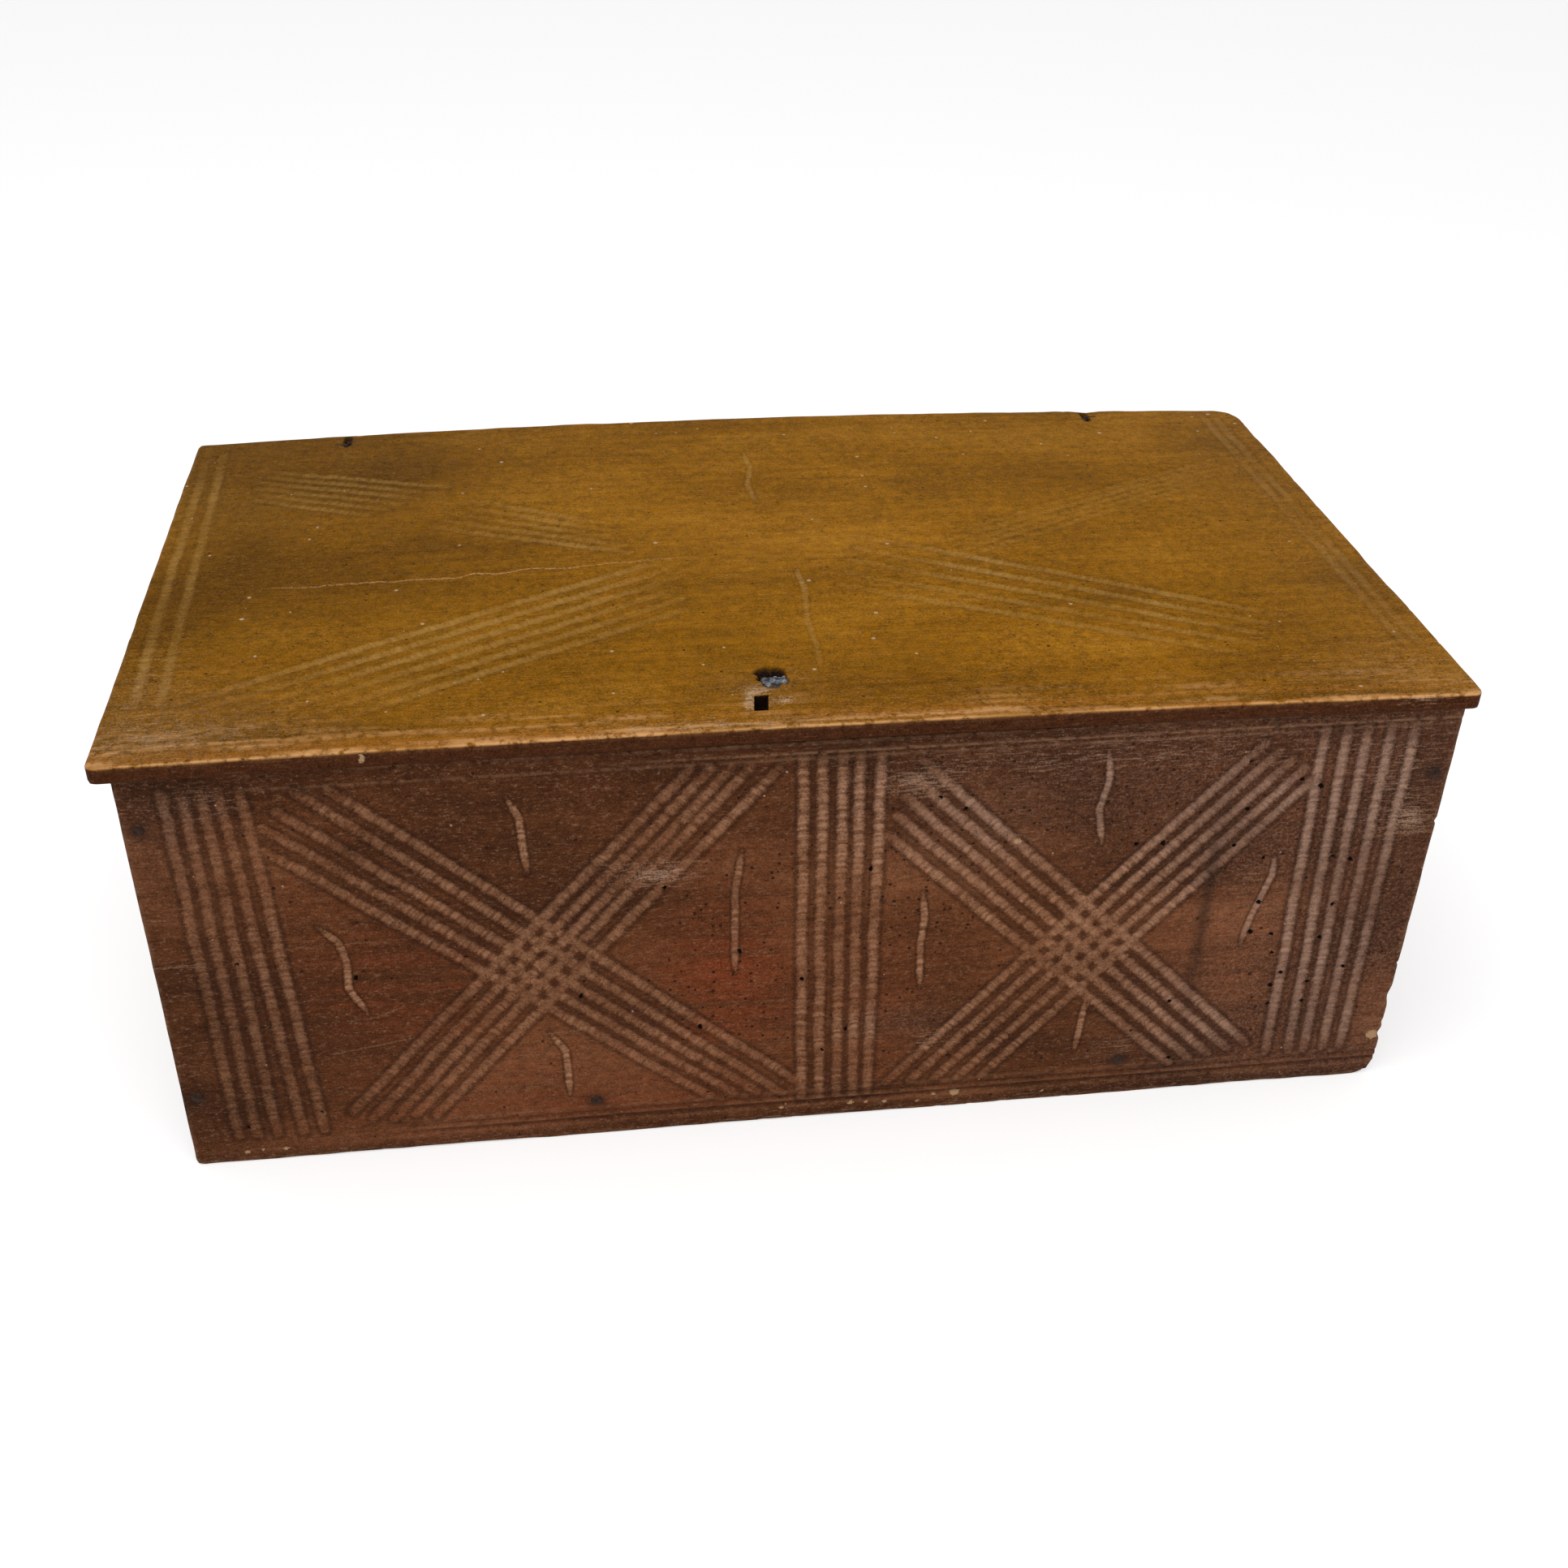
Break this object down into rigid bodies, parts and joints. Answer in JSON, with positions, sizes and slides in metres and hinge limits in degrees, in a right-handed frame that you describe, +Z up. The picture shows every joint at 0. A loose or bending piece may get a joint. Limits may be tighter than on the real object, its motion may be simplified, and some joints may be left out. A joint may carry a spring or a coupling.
{
  "type": "six-board box",
  "caption": "Small nailed plank box with a thin overhanging lid on wire hinges and a front carved with rows of gouge flutes.",
  "frame": {"origin": "on the floor under the middle of the closed box, lid included", "axes": "+X along the length, to the right seen from the carved front; +Y to the hinged back; +Z up"},
  "size_m": [0.4498, 0.2562, 0.1735],
  "materials": {
    "case_wood": "old waxed red-brown wood, satin, dry in the flutes",
    "lid_wood": "old waxed golden-brown wood, satin",
    "iron": "hand-forged wrought iron, dark and rusted"
  },
  "bodies": {
    "case": {"front_board": "case_wood", "back_board": "case_wood", "left_end_board": "case_wood", "right_end_board": "case_wood", "bottom_board": "case_wood", "hinge_left_back_pin": "iron", "hinge_right_back_pin": "iron", "nail_front_left_lower": "iron", "nail_front_left_upper": "iron", "nail_front_right_lower": "iron", "nail_front_right_upper": "iron", "nail_front_bottom_left": "iron", "nail_front_bottom_right": "iron", "nail_back_left_lower": "iron", "nail_back_left_upper": "iron", "nail_back_right_lower": "iron", "nail_back_right_upper": "iron", "nail_back_bottom_left": "iron", "nail_back_bottom_right": "iron", "nail_left_end_front": "iron", "nail_left_end_rear": "iron", "nail_right_end_front": "iron", "nail_right_end_rear": "iron"},
    "lid": {"lid_board": "lid_wood", "hinge_left_lid_pin": "iron", "hinge_right_lid_pin": "iron", "hasp_stub": "iron"}
  },
  "joints": [
    {"name": "lid_hinge", "type": "hinge", "parent": "case", "child": "lid", "pos_m": [0, 0.1208, 0.16365], "axis": [-1, 0, 0], "range_deg": [0, 120]}
  ]
}
